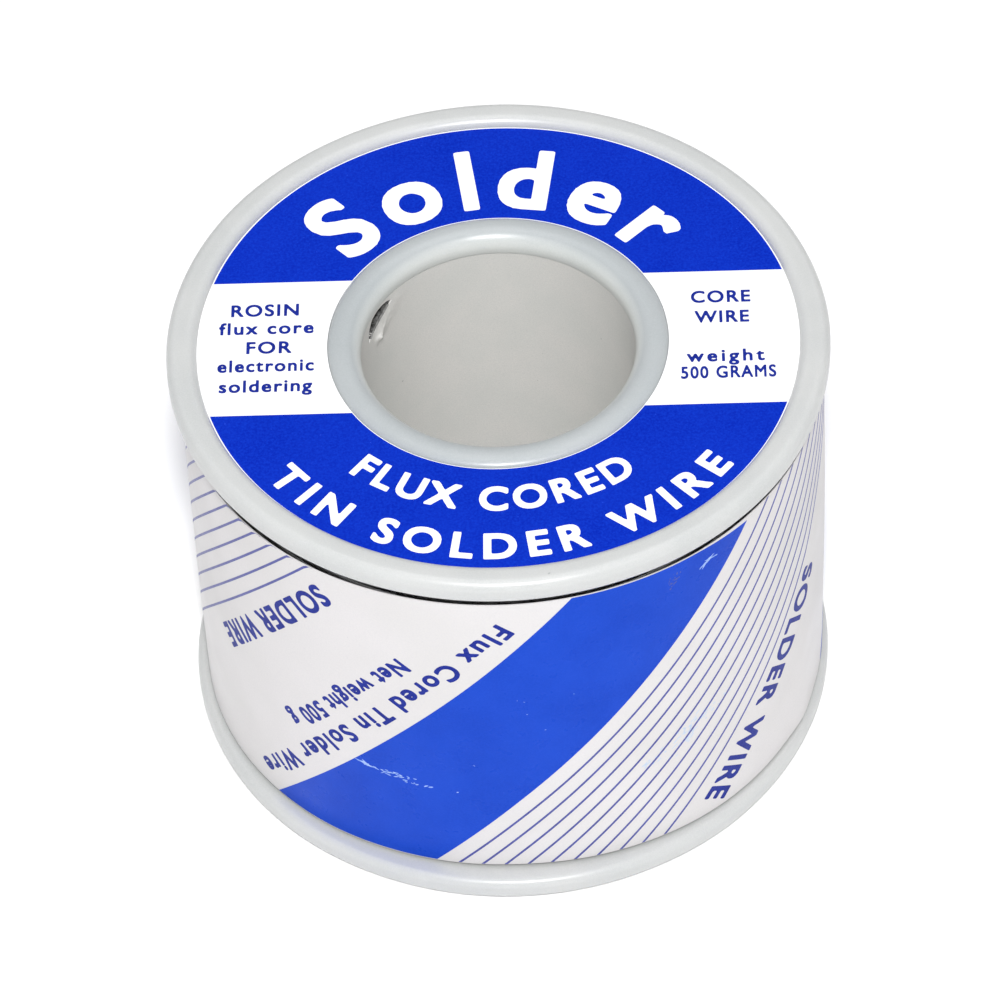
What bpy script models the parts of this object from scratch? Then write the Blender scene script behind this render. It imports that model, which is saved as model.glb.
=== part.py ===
"""A spool of flux-cored solder wire, as separate pieces.

A hub tube carries a flange pressed on at each end. The wire is wound between the flanges, a
loose paper wrap goes round it, and a round label is sunk into the outer face of each flange.
Metres, +Z up. The origin is the centre of the ring that the spool stands on.
"""

import math

import bmesh
import bpy
from mathutils import Matrix, Vector

MM = 0.001

# The spool's moulded parts
SPOOL_HEIGHT = 48.0 * MM
FLANGE_RADIUS = 32.5 * MM
FLANGE_THICKNESS = 2.6 * MM
RIM_OUTER_ROUND = 1.0 * MM
RIM_BACK_ROUND = 0.8 * MM
RIM_LAND_INNER_RADIUS = 30.6 * MM
LABEL_SEAT_RADIUS = 29.5 * MM
LABEL_SEAT_DEPTH = 1.05 * MM
BOSS_RADIUS = 16.7 * MM
BOSS_CREST_RADIUS = 15.2 * MM
BOSS_CREST_DEPTH = 0.3 * MM
BORE_RADIUS = 13.5 * MM
TUBE_WALL = 1.5 * MM
COLLAR_WALL = 1.3 * MM
COLLAR_LENGTH = 5.0 * MM
LIP_DEPTH = 2.55 * MM
FIT_GAP = 0.15 * MM

# The notch that the wire's inner end comes through, in the tube and in the upper collar
NOTCH_ANGLE = math.radians(150)
NOTCH_WIDTH = 4.6 * MM
NOTCH_BOTTOM_DEPTH = 4.7 * MM
NOTCH_TOP_DEPTH = 2.9 * MM

# The wire
WIRE_RADIUS = 0.5 * MM
FLUX_HOLE_RADIUS = 0.22 * MM
FLUX_CORE_RADIUS = 0.17 * MM
WINDING_RADIUS = 29.2 * MM
WINDING_END_GAP = 0.3 * MM
WINDING_HUB_GAP = 0.3 * MM
START_TAIL_ANGLE = math.radians(147.5)
START_TAIL_DEPTH = 3.8 * MM
START_TAIL_DROP = 1.4 * MM
START_TAIL_BEND = 0.9 * MM
OUTER_END_HEIGHT = 30.0 * MM
OUTER_END_START = math.radians(205)
OUTER_END_STOP = math.radians(262)
TAPE_WIDTH = 9.0 * MM
TAPE_THICKNESS = 0.1 * MM
TAPE_START = math.radians(243)
TAPE_STOP = math.radians(256)

# The paper
PAPER = 0.12 * MM
LABEL_RADIUS = 29.2 * MM
LABEL_HOLE_RADIUS = 16.95 * MM
LABEL_FACE_DEPTH = 0.9 * MM
WRAP_THICKNESS = 0.2 * MM
WRAP_FOOT_RADIUS = 30.5 * MM
WRAP_HEAD_RADIUS = 31.5 * MM
WRAP_FOOT_GAP = 0.35 * MM
WRAP_HEAD_GAP = 0.75 * MM
SEAM_ANGLE = math.radians(88)
SEAM_WIDTH = math.radians(15)
SEAM_MARGIN = 2.0 * MM

TURN_STEPS = 64
SHARP_ANGLE = math.radians(40)


def clear_scene():
    for obj in list(bpy.data.objects):
        bpy.data.objects.remove(obj, do_unlink=True)


def new_collection(name):
    collection = bpy.data.collections.new(name)
    bpy.context.scene.collection.children.link(collection)
    return collection


def make_material(name, colour, roughness, metallic=0.0):
    material = bpy.data.materials.new(name)
    material.use_nodes = True
    shader = material.node_tree.nodes["Principled BSDF"]
    shader.inputs["Base Color"].default_value = (*colour, 1.0)
    shader.inputs["Roughness"].default_value = roughness
    shader.inputs["Metallic"].default_value = metallic
    return material


def evaluated_mesh(obj):
    graph = bpy.context.evaluated_depsgraph_get()
    graph.update()
    return bpy.data.meshes.new_from_object(obj.evaluated_get(graph))


def bake_modifiers(obj):
    """Turns the object's modifiers into mesh, shaded smooth but for its sharp edges."""
    mesh = evaluated_mesh(obj)
    obj.modifiers.clear()
    obj.data = mesh
    mesh.shade_smooth()
    mesh.set_sharp_from_angle(angle=SHARP_ANGLE)
    return obj


def quarter(centre, radii, first_degrees, last_degrees, steps):
    """Points (radius, height) along an arc of an ellipse, both ends included."""
    points = []
    for step in range(steps + 1):
        angle = math.radians(first_degrees + (last_degrees - first_degrees) * step / steps)
        points.append((centre[0] + radii[0] * math.cos(angle), centre[1] + radii[1] * math.sin(angle)))
    return points


def profile_object(name, profile, closed, collection):
    mesh = bpy.data.meshes.new(name)
    edges = [(i, i + 1) for i in range(len(profile) - 1)]
    if closed:
        edges.append((len(profile) - 1, 0))
    mesh.from_pydata([(radius, 0.0, height) for radius, height in profile], edges, [])
    obj = bpy.data.objects.new(name, mesh)
    collection.objects.link(obj)
    return obj


def add_screw(obj, angle, steps):
    screw = obj.modifiers.new("turn", "SCREW")
    screw.axis = "Z"
    screw.angle = angle
    screw.steps = screw.render_steps = steps
    screw.use_merge_vertices = True
    screw.merge_threshold = 0.00001
    screw.use_normal_calculate = False


def turned(name, profile, collection, material):
    """A closed outline turned right round Z. It runs down its outer side, top to bottom."""
    obj = profile_object(name, profile, True, collection)
    add_screw(obj, math.tau, TURN_STEPS)
    bake_modifiers(obj)
    obj.data.materials.append(material)
    return obj


def turned_patch(name, profile, start, stop, steps, thickness, collection, material):
    """An open outline turned from one angle to another, and given a thickness inwards."""
    obj = profile_object(name, profile, False, collection)
    obj.data.transform(Matrix.Rotation(start, 4, "Z"))
    add_screw(obj, stop - start, steps)
    solidify = obj.modifiers.new("thickness", "SOLIDIFY")
    solidify.thickness = thickness
    solidify.offset = -1.0
    bake_modifiers(obj)
    obj.data.materials.append(material)
    return obj


def cut_box(name, angle, radii, width, heights, collection):
    """A box across the wall at an angle round Z, between two radii and two heights."""
    mesh = bpy.data.meshes.new(name)
    shape = bmesh.new()
    bmesh.ops.create_cube(shape, size=1.0)
    size = Vector((radii[1] - radii[0], width, heights[1] - heights[0]))
    bmesh.ops.scale(shape, vec=size, verts=shape.verts)
    middle = Vector(((radii[0] + radii[1]) / 2, 0.0, (heights[0] + heights[1]) / 2))
    bmesh.ops.translate(shape, vec=middle, verts=shape.verts)
    bmesh.ops.rotate(shape, cent=(0, 0, 0), matrix=Matrix.Rotation(angle, 3, "Z"), verts=shape.verts)
    shape.to_mesh(mesh)
    shape.free()
    box = bpy.data.objects.new(name, mesh)
    box.hide_render = True
    box.display_type = "WIRE"
    collection.objects.link(box)
    return box


def cut(obj, cutter):
    boolean = obj.modifiers.new("cut", "BOOLEAN")
    boolean.operation = "DIFFERENCE"
    boolean.solver = "EXACT"
    boolean.object = cutter
    bake_modifiers(obj)


def wire_curve(name, points, radius, collection):
    """A round wire through the points, with flat closed ends."""
    curve = bpy.data.curves.new(name, "CURVE")
    curve.dimensions = "3D"
    curve.bevel_depth = radius
    curve.bevel_resolution = 2
    curve.use_fill_caps = True
    spline = curve.splines.new("POLY")
    spline.points.add(len(points) - 1)
    for point, place in zip(spline.points, points):
        point.co = (*place, 1.0)
    obj = bpy.data.objects.new(name, curve)
    collection.objects.link(obj)
    return obj


def wire_mesh(name, points, radius, collection):
    """The same wire as a closed mesh, so that it can be cut."""
    curve = wire_curve(name + "_line", points, radius, collection)
    mesh = evaluated_mesh(curve)
    shape = bmesh.new()
    shape.from_mesh(mesh)
    bmesh.ops.remove_doubles(shape, verts=shape.verts, dist=0.000001)
    bmesh.ops.recalc_face_normals(shape, faces=shape.faces)
    shape.to_mesh(mesh)
    shape.free()
    obj = bpy.data.objects.new(name, mesh)
    obj.matrix_world = curve.matrix_world
    collection.objects.link(obj)
    bpy.data.objects.remove(curve, do_unlink=True)
    mesh.shade_smooth()
    mesh.set_sharp_from_angle(angle=SHARP_ANGLE)
    return obj


def flange_outline():
    """The flange's section, with z = 0 at the top of its rim and its collar hanging down."""
    collar_inner = BORE_RADIUS + TUBE_WALL + FIT_GAP
    collar_outer = collar_inner + COLLAR_WALL
    collar_bottom = -FLANGE_THICKNESS - COLLAR_LENGTH
    lip_round = BOSS_CREST_RADIUS - BORE_RADIUS
    rim_top = quarter(
        (FLANGE_RADIUS - RIM_OUTER_ROUND, -RIM_OUTER_ROUND), (RIM_OUTER_ROUND, RIM_OUTER_ROUND), 90, 0, 3
    )
    rim_back = quarter(
        (FLANGE_RADIUS - RIM_BACK_ROUND, RIM_BACK_ROUND - FLANGE_THICKNESS),
        (RIM_BACK_ROUND, RIM_BACK_ROUND), 0, -90, 2,
    )
    collar = [
        (collar_outer, -FLANGE_THICKNESS),
        (collar_outer, collar_bottom),
        (collar_inner, collar_bottom),
        (collar_inner, -LIP_DEPTH),
        (BORE_RADIUS, -LIP_DEPTH),
    ]
    lip = quarter(
        (BOSS_CREST_RADIUS, -BOSS_CREST_DEPTH - lip_round), (lip_round, lip_round), 180, 90, 4
    )
    boss = quarter(
        (BOSS_CREST_RADIUS, -LABEL_SEAT_DEPTH),
        (BOSS_RADIUS - BOSS_CREST_RADIUS, LABEL_SEAT_DEPTH - BOSS_CREST_DEPTH), 90, 0, 3,
    )
    seat_edge = quarter(
        (RIM_LAND_INNER_RADIUS, -LABEL_SEAT_DEPTH),
        (RIM_LAND_INNER_RADIUS - LABEL_SEAT_RADIUS, LABEL_SEAT_DEPTH), 180, 90, 2,
    )
    return rim_top + rim_back + collar + lip + boss[1:] + seat_edge


def turned_over(outline, height):
    """The outline upside down below the height, still running down its outer side."""
    return [(radius, height - z) for radius, z in reversed(outline)]


def make_upper_flange(parts, cutters, plastic):
    outline = [(radius, SPOOL_HEIGHT + z) for radius, z in flange_outline()]
    flange = turned("upper_flange", outline, parts, plastic)
    heights = (SPOOL_HEIGHT - NOTCH_BOTTOM_DEPTH, SPOOL_HEIGHT - NOTCH_TOP_DEPTH)
    radii = (BORE_RADIUS + TUBE_WALL / 2, BORE_RADIUS + 2 * TUBE_WALL + COLLAR_WALL)
    cut(flange, cut_box("collar_notch_cutter", NOTCH_ANGLE, radii, NOTCH_WIDTH, heights, cutters))


def make_lower_flange(parts, plastic):
    turned("lower_flange", turned_over(flange_outline(), 0.0), parts, plastic)


def make_hub_tube(parts, cutters, plastic):
    bottom = LIP_DEPTH + FIT_GAP
    top = SPOOL_HEIGHT - bottom
    outer = BORE_RADIUS + TUBE_WALL
    chamfer = 0.3 * MM
    outline = [
        (outer - chamfer, top),
        (outer, top - chamfer),
        (outer, bottom + chamfer),
        (outer - chamfer, bottom),
        (BORE_RADIUS, bottom),
        (BORE_RADIUS, top),
    ]
    tube = turned("hub_tube", outline, parts, plastic)
    heights = (SPOOL_HEIGHT - NOTCH_BOTTOM_DEPTH, SPOOL_HEIGHT)
    radii = (BORE_RADIUS - TUBE_WALL, outer + TUBE_WALL)
    cut(tube, cut_box("tube_notch_cutter", NOTCH_ANGLE, radii, NOTCH_WIDTH, heights, cutters))


def make_winding(parts, solder):
    """The wound wire: it fills the space between the flanges, and steps in between the collars."""
    low = FLANGE_THICKNESS + WINDING_END_GAP
    high = SPOOL_HEIGHT - low
    tube_side = BORE_RADIUS + TUBE_WALL + WINDING_HUB_GAP
    collar_side = tube_side + FIT_GAP + COLLAR_WALL
    step = FLANGE_THICKNESS + COLLAR_LENGTH + WINDING_END_GAP
    outline = [
        (WINDING_RADIUS - WIRE_RADIUS, high),
        (WINDING_RADIUS, high - WIRE_RADIUS),
        (WINDING_RADIUS, low + WIRE_RADIUS),
        (WINDING_RADIUS - WIRE_RADIUS, low),
        (collar_side, low),
        (collar_side, step),
        (tube_side, step),
        (tube_side, SPOOL_HEIGHT - step),
        (collar_side, SPOOL_HEIGHT - step),
        (collar_side, high),
    ]
    turned("solder_winding", outline, parts, solder)


def start_tail_route():
    """From beside the collar inwards through the notch, then bent down the wall of the bore."""
    outer = BORE_RADIUS + TUBE_WALL + FIT_GAP + COLLAR_WALL
    inner = BORE_RADIUS - WIRE_RADIUS - FIT_GAP
    height = SPOOL_HEIGHT - START_TAIL_DEPTH
    route = [(outer, height), ((outer + inner + START_TAIL_BEND) / 2, height)]
    route += quarter(
        (inner + START_TAIL_BEND, height - START_TAIL_BEND), (START_TAIL_BEND, START_TAIL_BEND), 90, 180, 5
    )
    route.append((inner, height - START_TAIL_BEND - START_TAIL_DROP))
    turn = Matrix.Rotation(START_TAIL_ANGLE, 3, "Z")
    return [turn @ Vector((radius, 0.0, z)) for radius, z in route]


def outer_end_route():
    """Along the outside of the winding, over its last full turn."""
    radius = WINDING_RADIUS + WIRE_RADIUS + FIT_GAP
    steps = 14
    route = []
    for step in range(steps + 1):
        angle = OUTER_END_START + (OUTER_END_STOP - OUTER_END_START) * step / steps
        place = Vector((radius * math.cos(angle), radius * math.sin(angle), OUTER_END_HEIGHT))
        route.append(place)
    return route


def stretched(route, extra):
    """The route with its two ends carried straight on, to cut right through them."""
    first = route[0] + (route[0] - route[1]).normalized() * extra
    last = route[-1] + (route[-1] - route[-2]).normalized() * extra
    return [first, *route[1:-1], last]


def make_cored_wire(name, core_name, route, parts, cutters, solder, flux):
    """A stretch of wire with a hole along it, and the thread of flux that fills the hole."""
    wire = wire_mesh(name, route, WIRE_RADIUS, parts)
    hole = wire_mesh(name + "_hole", stretched(route, WIRE_RADIUS), FLUX_HOLE_RADIUS, cutters)
    hole.hide_render = True
    hole.display_type = "WIRE"
    cut(wire, hole)
    wire.data.materials.append(solder)
    core = wire_curve(core_name, route, FLUX_CORE_RADIUS, parts)
    core.data.materials.append(flux)


def make_end_tape(parts, film):
    """A strip of film over the wire's outer end: flat on the winding, humped over the wire."""
    on_winding = WINDING_RADIUS + FIT_GAP + TAPE_THICKNESS
    over_wire = WINDING_RADIUS + 2 * (WIRE_RADIUS + FIT_GAP) + TAPE_THICKNESS
    hump = 2.2 * WIRE_RADIUS
    foot = 4.0 * WIRE_RADIUS
    outline = [(on_winding, OUTER_END_HEIGHT + TAPE_WIDTH / 2), (on_winding, OUTER_END_HEIGHT + foot)]
    outline += [(over_wire, OUTER_END_HEIGHT + hump / 2), (over_wire, OUTER_END_HEIGHT - hump / 2)]
    outline += [(on_winding, OUTER_END_HEIGHT - foot), (on_winding, OUTER_END_HEIGHT - TAPE_WIDTH / 2)]
    turned_patch("end_tape", outline, TAPE_START, TAPE_STOP, 6, TAPE_THICKNESS, parts, film)


def wrap_radius(height):
    """The outside of the paper wrap, drawn in a little towards its foot."""
    foot = FLANGE_THICKNESS + WRAP_FOOT_GAP
    head = SPOOL_HEIGHT - FLANGE_THICKNESS - WRAP_HEAD_GAP
    up = (height - foot) / (head - foot)
    return WRAP_FOOT_RADIUS + (WRAP_HEAD_RADIUS - WRAP_FOOT_RADIUS) * math.sin(up * math.pi / 2)


def wrap_line(low, high, inset, steps=4):
    """Points down a line that follows the wrap, a little way inside it."""
    heights = [high - (high - low) * step / steps for step in range(steps + 1)]
    return [(wrap_radius(height) - inset, height) for height in heights]


def make_wrap(parts, paper, glue):
    low = FLANGE_THICKNESS + WRAP_FOOT_GAP
    high = SPOOL_HEIGHT - FLANGE_THICKNESS - WRAP_HEAD_GAP
    outline = wrap_line(low, high, 0.0) + wrap_line(low, high, WRAP_THICKNESS)[::-1]
    turned("wrap_label", outline, parts, paper)
    strip = wrap_line(low + SEAM_MARGIN, high - SEAM_MARGIN, WRAP_THICKNESS + FIT_GAP / 3)
    start, stop = SEAM_ANGLE - SEAM_WIDTH / 2, SEAM_ANGLE + SEAM_WIDTH / 2
    turned_patch("wrap_seam_adhesive", strip, start, stop, 4, TAPE_THICKNESS, parts, glue)


def label_outline(face_height):
    return [
        (LABEL_RADIUS, face_height),
        (LABEL_RADIUS, face_height - PAPER),
        (LABEL_HOLE_RADIUS, face_height - PAPER),
        (LABEL_HOLE_RADIUS, face_height),
    ]


def make_face_labels(parts, paper):
    turned("top_label", label_outline(SPOOL_HEIGHT - LABEL_FACE_DEPTH), parts, paper)
    turned("bottom_label", label_outline(LABEL_FACE_DEPTH + PAPER), parts, paper)


def main():
    clear_scene()
    parts = new_collection("solder_wire_spool")
    cutters = new_collection("cutters")
    plastic = make_material("grey_plastic", (0.62, 0.65, 0.64), 0.38)
    solder = make_material("solder", (0.66, 0.67, 0.68), 0.32, 1.0)
    flux = make_material("flux", (0.72, 0.45, 0.13), 0.3)
    printed_paper = make_material("printed_paper", (0.05, 0.09, 0.62), 0.42)
    wrap_paper = make_material("wrap_paper", (0.88, 0.86, 0.86), 0.45)
    film = make_material("clear_film", (0.80, 0.76, 0.62), 0.2)
    glue = make_material("glue", (0.78, 0.72, 0.55), 0.5)
    make_hub_tube(parts, cutters, plastic)
    make_lower_flange(parts, plastic)
    make_upper_flange(parts, cutters, plastic)
    make_winding(parts, solder)
    make_cored_wire("wire_start_tail", "flux_core_start", start_tail_route(), parts, cutters, solder, flux)
    make_cored_wire("wire_outer_end", "flux_core_end", outer_end_route(), parts, cutters, solder, flux)
    make_end_tape(parts, film)
    make_wrap(parts, wrap_paper, glue)
    make_face_labels(parts, printed_paper)


main()
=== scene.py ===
"""The looks of a spool of flux-cored solder wire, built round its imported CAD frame.

Lengths here are millimetres, and are scaled to metres when a mesh is made. Heights are from the
floor up. Angles round Z are in degrees from +X, so the front of the spool is at -90.
"""

import math
import random

import bmesh
import bpy
import numpy as np
from mathutils import Matrix, Vector, noise


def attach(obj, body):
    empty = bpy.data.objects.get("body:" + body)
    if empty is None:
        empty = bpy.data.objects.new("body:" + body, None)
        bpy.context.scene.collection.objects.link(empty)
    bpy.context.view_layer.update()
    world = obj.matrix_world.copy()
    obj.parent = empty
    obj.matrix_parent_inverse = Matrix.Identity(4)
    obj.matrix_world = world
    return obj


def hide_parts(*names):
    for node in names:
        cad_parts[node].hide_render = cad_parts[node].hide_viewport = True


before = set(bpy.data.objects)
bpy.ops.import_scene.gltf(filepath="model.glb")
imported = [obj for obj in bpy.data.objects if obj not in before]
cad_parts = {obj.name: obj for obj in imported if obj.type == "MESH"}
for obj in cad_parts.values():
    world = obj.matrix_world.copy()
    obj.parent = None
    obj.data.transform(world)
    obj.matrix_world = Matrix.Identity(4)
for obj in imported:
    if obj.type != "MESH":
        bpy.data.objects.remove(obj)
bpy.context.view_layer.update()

MM = 0.001
SHARP = math.radians(38)
SPOOL, WRAP = "spool", "wrap"


def reach(node):
    """A CAD node's smallest and largest distance from the Z axis, and its lowest and highest point."""
    points = [vertex.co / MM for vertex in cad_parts[node].data.vertices]
    spans = [math.hypot(point.x, point.y) for point in points]
    heights = [point.z for point in points]
    return min(spans), max(spans), min(heights), max(heights)


BORE_R, TUBE_R = reach("hub_tube")[:2]
FLANGE_R, COLLAR_END, TOP = reach("upper_flange")[1:]
LABEL_HOLE_R, LABEL_R = reach("top_label")[:2]
LABEL_FACE, LOWER_LABEL_FACE = reach("top_label")[3], reach("bottom_label")[2]
WIND_IN, WIND_R, WIND_LOW, WIND_HIGH = reach("solder_winding")
WRAP_OUT, WRAP_LOW, WRAP_HIGH = reach("wrap_label")[1:]
WIRE_END_LOW, WIRE_END_HIGH = reach("wire_outer_end")[2:]
TAPE_LOW, TAPE_HIGH = reach("end_tape")[2:]
WIRE_R = (WIRE_END_HIGH - WIRE_END_LOW) / 2
FLANGE_T = 2.6  # the flange's thickness at its rim
COLLAR_R = 16.45  # the outside of the collar that presses over the tube
SEAT_R, SEAT_DEPTH = 29.5, 1.05  # the label's sunk seat
LIP_DEPTH = 2.55  # from the top down to where the flange's lip meets the tube


# ---------------------------------------------------------------- materials

def node_of(tree, kind, inputs=None, **settings):
    node = tree.nodes.new(kind)
    for key, value in settings.items():
        setattr(node, key, value)
    for key, value in (inputs or {}).items():
        node.inputs[key].default_value = value
    return node


def noise_of(tree, place, size, detail=3.0, stretch=(1.0, 1.0, 1.0), rough=0.55):
    """Noise whose features are about size millimetres across."""
    mapping = node_of(tree, "ShaderNodeMapping", {"Scale": stretch})
    tree.links.new(place.outputs["Object"], mapping.inputs["Vector"])
    inputs = {"Scale": 1.0 / (size * MM), "Detail": detail, "Roughness": rough}
    grain = node_of(tree, "ShaderNodeTexNoise", inputs)
    tree.links.new(mapping.outputs["Vector"], grain.inputs["Vector"])
    return grain.outputs["Fac"]


def spread(tree, value, low, high, to_low, to_high):
    node = node_of(tree, "ShaderNodeMapRange", {1: low, 2: high, 3: to_low, 4: to_high})
    tree.links.new(value, node.inputs[0])
    return node.outputs[0]


def mixed(tree, factor, first, second, blend="MIX"):
    node = node_of(tree, "ShaderNodeMix", data_type="RGBA", blend_type=blend)
    tree.links.new(factor, node.inputs["Factor"])
    for socket, colour in ((node.inputs[6], first), (node.inputs[7], second)):
        if isinstance(colour, tuple):
            socket.default_value = (*colour, 1.0)
        else:
            tree.links.new(colour, socket)
    return node.outputs[2]


def surface(name, tones, patch, grain, rough, bumps, fixed=None, specks=None):
    """A material whose colour, roughness and bump all come from noise.

    tones: two colours that patches of size patch drift between, and a third that a fine grain
    mixes in. grain: (size, share). rough: (low, high). bumps: (size, height, stretch) each.
    specks: (size, threshold, colour) for sparse marks.
    """
    material = bpy.data.materials.new(name)
    material.use_nodes = True
    tree = material.node_tree
    shader = tree.nodes["Principled BSDF"]
    for socket, value in (fixed or {}).items():
        shader.inputs[socket].default_value = value
    place = node_of(tree, "ShaderNodeTexCoord")
    drift = noise_of(tree, place, patch, 2.0)
    colour = mixed(tree, spread(tree, drift, 0.35, 0.65, 0.0, 1.0), tones[0], tones[1])
    fine = noise_of(tree, place, grain[0], 2.0, rough=0.7)
    colour = mixed(tree, spread(tree, fine, 0.35, 0.75, 0.0, grain[1]), colour, tones[2])
    if specks:
        spots = noise_of(tree, place, specks[0], 1.0)
        colour = mixed(tree, spread(tree, spots, specks[1], specks[1] + 0.03, 0.0, 0.8), colour, specks[2])
    tree.links.new(colour, shader.inputs["Base Color"])
    sheen = noise_of(tree, place, patch * 0.4)
    tree.links.new(spread(tree, sheen, 0.3, 0.7, *rough), shader.inputs["Roughness"])
    normal = None
    for size, height, stretch in bumps:
        bump = node_of(tree, "ShaderNodeBump", {"Strength": 1.0, "Distance": height * MM})
        tree.links.new(noise_of(tree, place, size, 3.0, stretch), bump.inputs["Height"])
        if normal:
            tree.links.new(normal, bump.inputs["Normal"])
        normal = bump.outputs["Normal"]
    tree.links.new(normal, shader.inputs["Normal"])
    return material


def toned_inside(material, inner, outer, tone):
    """Multiplies a material's colour by a tone inside a radius round Z: in full at the inner one."""
    tree = material.node_tree
    shader = tree.nodes["Principled BSDF"]
    colour = shader.inputs["Base Color"].links[0].from_socket
    place = node_of(tree, "ShaderNodeTexCoord")
    flat = node_of(tree, "ShaderNodeVectorMath", {1: (1.0, 1.0, 0.0)}, operation="MULTIPLY")
    tree.links.new(place.outputs["Object"], flat.inputs[0])
    length = node_of(tree, "ShaderNodeVectorMath", operation="LENGTH")
    tree.links.new(flat.outputs["Vector"], length.inputs[0])
    share = spread(tree, length.outputs["Value"], inner * MM, outer * MM, 1.0, 0.0)
    tree.links.new(mixed(tree, share, colour, tone, "MULTIPLY"), shader.inputs["Base Color"])


EVEN = (1.0, 1.0, 1.0)
PLASTIC = surface(
    "milky_grey_plastic", ((0.505, 0.520, 0.518), (0.545, 0.555, 0.550), (0.63, 0.63, 0.63)), 9.0,
    (0.14, 0.5), (0.30, 0.40), ((0.35, 0.006, EVEN), (2.6, 0.010, EVEN)),
    {"Subsurface Weight": 0.6, "Subsurface Radius": (1.0, 1.0, 1.05), "Subsurface Scale": 1.6 * MM,
     "IOR": 1.5, "Coat Weight": 0.20, "Coat Roughness": 0.18},
    (0.7, 0.80, (0.36, 0.38, 0.38)),
)
# Partly painted light: the bore's plastic has a warmer grey of its own, and is set much paler than the
# flanges' plastic to stand for the flash that lights the deep bore wall.
BORE_PLASTIC = surface(
    "bore_grey_plastic", ((0.71, 0.71, 0.685), (0.755, 0.74, 0.715), (0.57, 0.58, 0.57)), 7.0, (0.12, 0.55),
    (0.42, 0.52), ((0.3, 0.006, EVEN), (2.2, 0.010, (1.0, 1.0, 0.4))),
    {"Subsurface Weight": 0.2, "Subsurface Radius": (1.0, 0.98, 0.95), "Subsurface Scale": 1.0 * MM,
     "IOR": 1.5},
    (0.6, 0.82, (0.30, 0.31, 0.30)),
)
toned_inside(PLASTIC, 17.0, 17.8, (0.79, 0.825, 0.85))  # the boss and the lip are a darker grey
toned_inside(PLASTIC, 13.5, 14.35, (1.50, 1.46, 1.40))  # painted light: the lip's thin edge is painted paler and warmer, for the light coming through it, blending into the bore's grey
# Painted shade: a near-black lining for the hollow behind the slot, which is dark only for want of light.
SLOT_SHADE = surface(
    "painted_shade_slot", ((0.014, 0.014, 0.013), (0.040, 0.039, 0.037), (0.24, 0.24, 0.235)), 0.9, (0.35, 0.8),
    (0.6, 0.8), ((0.2, 0.03, EVEN),), {"Specular IOR Level": 0.1},
)
# Painted shade: the burr is coloured a darker grey than the bore, for the shade at the slot's mouth where it
# sits.
BURR_SHADE = surface(
    "painted_shade_burr_plastic", ((0.20, 0.20, 0.195), (0.42, 0.42, 0.41), (0.12, 0.12, 0.12)), 0.6,
    (0.12, 0.7), (0.25, 0.45), ((0.15, 0.02, EVEN), (0.6, 0.05, EVEN)),
    {"Subsurface Weight": 0.2, "Subsurface Radius": (1.0, 1.0, 1.0), "Subsurface Scale": 0.6 * MM},
)
LABEL_PAPER = surface(
    "coated_label_paper", ((0.90, 0.905, 0.915), (0.93, 0.93, 0.935), (0.84, 0.845, 0.86)), 11.0, (0.14, 0.3),
    (0.30, 0.42), ((0.12, 0.003, EVEN), (1.4, 0.006, EVEN)),
    {"Coat Weight": 0.15, "Coat Roughness": 0.25},
)
LABEL_BLUE = surface(
    "label_blue_ink", ((0.0, 0.017, 0.385), (0.001, 0.021, 0.415), (0.004, 0.042, 0.55)), 5.0, (0.26, 0.75),
    (0.34, 0.46), ((0.12, 0.003, EVEN), (1.4, 0.006, EVEN)),
    {"Specular IOR Level": 0.06}, (0.30, 0.76, (0.02, 0.07, 0.64)),
)
# Partly painted shade: the wrap's paper is set greyer than the label's, partly as its own paper and partly
# for the lesser light on its upright side.
WRAP_PAPER = surface(
    "coated_wrap_paper", ((0.655, 0.640, 0.636), (0.695, 0.675, 0.68), (0.56, 0.55, 0.575)), 14.0,
    (0.16, 0.35), (0.28, 0.42), ((0.13, 0.004, EVEN), (5.0, 0.03, (1.0, 1.0, 0.5))),
    {"Specular IOR Level": 0.3}, (0.22, 0.80, (0.45, 0.46, 0.50)),
)
WRAP_BLUE = surface(
    "wrap_blue_ink", ((0.001, 0.046, 0.47), (0.004, 0.056, 0.52), (0.012, 0.078, 0.58)), 6.0, (0.24, 0.5),
    (0.24, 0.38), ((0.13, 0.004, EVEN), (5.0, 0.03, (1.0, 1.0, 0.5))),
    {"Specular IOR Level": 0.08}, (0.26, 0.79, (0.05, 0.12, 0.66)),
)
FINE_INK = surface(
    "wrap_line_ink", ((0.022, 0.030, 0.24), (0.035, 0.046, 0.30), (0.09, 0.11, 0.42)), 1.6, (0.2, 0.5),
    (0.32, 0.44), ((0.13, 0.004, EVEN),),
)
LETTER_INK = surface(
    "letter_blue_ink", ((0.002, 0.011, 0.20), (0.005, 0.019, 0.25), (0.03, 0.05, 0.36)), 1.2, (0.18, 0.5),
    (0.36, 0.48), ((0.13, 0.004, EVEN),), {"Specular IOR Level": 0.1},
)
SOLDER = surface(
    "tin_lead_wire", ((0.60, 0.61, 0.62), (0.70, 0.70, 0.71), (0.46, 0.47, 0.48)), 3.0, (0.25, 0.6),
    (0.24, 0.42), ((0.10, 0.01, (1.0, 1.0, 5.0)), (0.8, 0.01, EVEN)), {"Metallic": 1.0},
    (0.5, 0.70, (0.30, 0.30, 0.31)),
)
FLUX = surface(
    "rosin_flux", ((0.62, 0.34, 0.07), (0.74, 0.46, 0.12), (0.45, 0.22, 0.04)), 0.6, (0.1, 0.4),
    (0.12, 0.25), ((0.2, 0.01, EVEN),),
    {"Subsurface Weight": 0.4, "Subsurface Radius": (1.0, 0.6, 0.2), "Subsurface Scale": 0.3 * MM},
)
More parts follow.
